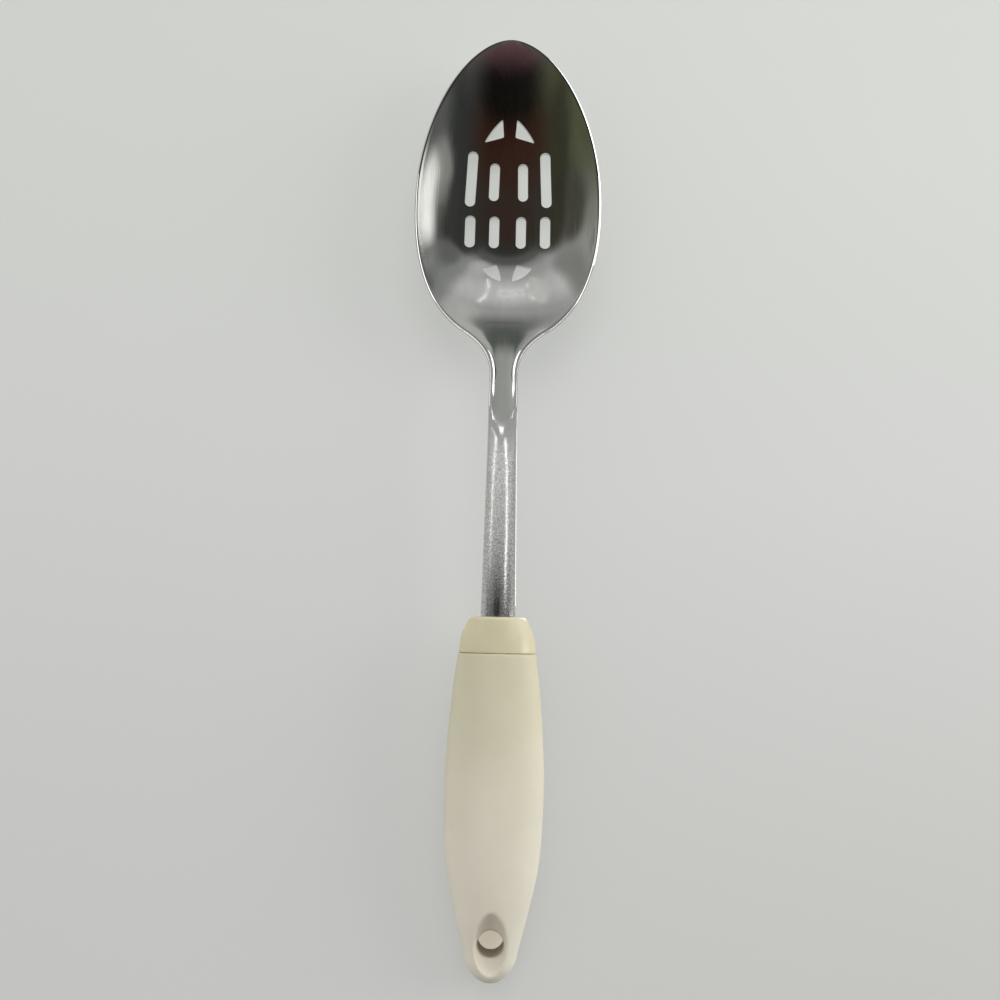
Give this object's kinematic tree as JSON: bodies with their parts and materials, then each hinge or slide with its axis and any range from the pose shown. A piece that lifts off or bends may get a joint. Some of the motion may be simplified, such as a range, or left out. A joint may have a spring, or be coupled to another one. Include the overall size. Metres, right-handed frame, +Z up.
{
  "type": "slotted serving spoon",
  "caption": "Stamped steel serving spoon with a deep pierced bowl, an arched shank, a hard glossy collar and a soft swelling grip with a scooped hanging hole.",
  "frame": {"origin": "middle of the spoon's box at table height, in the pose it lies in on a table", "axes": "+Y along the spoon towards the bowl's tip, +Z up out of the bowl, +X to the right seen from the handle"},
  "size_m": [0.0666, 0.3263, 0.024],
  "materials": {
    "steel": "worn satin",
    "collar": "gloss",
    "core": "as moulded",
    "grip": "soft matt"
  },
  "bodies": {
    "root": {"spoon": "steel", "collar": "collar", "core": "core", "grip": "grip"}
  },
  "joints": []
}
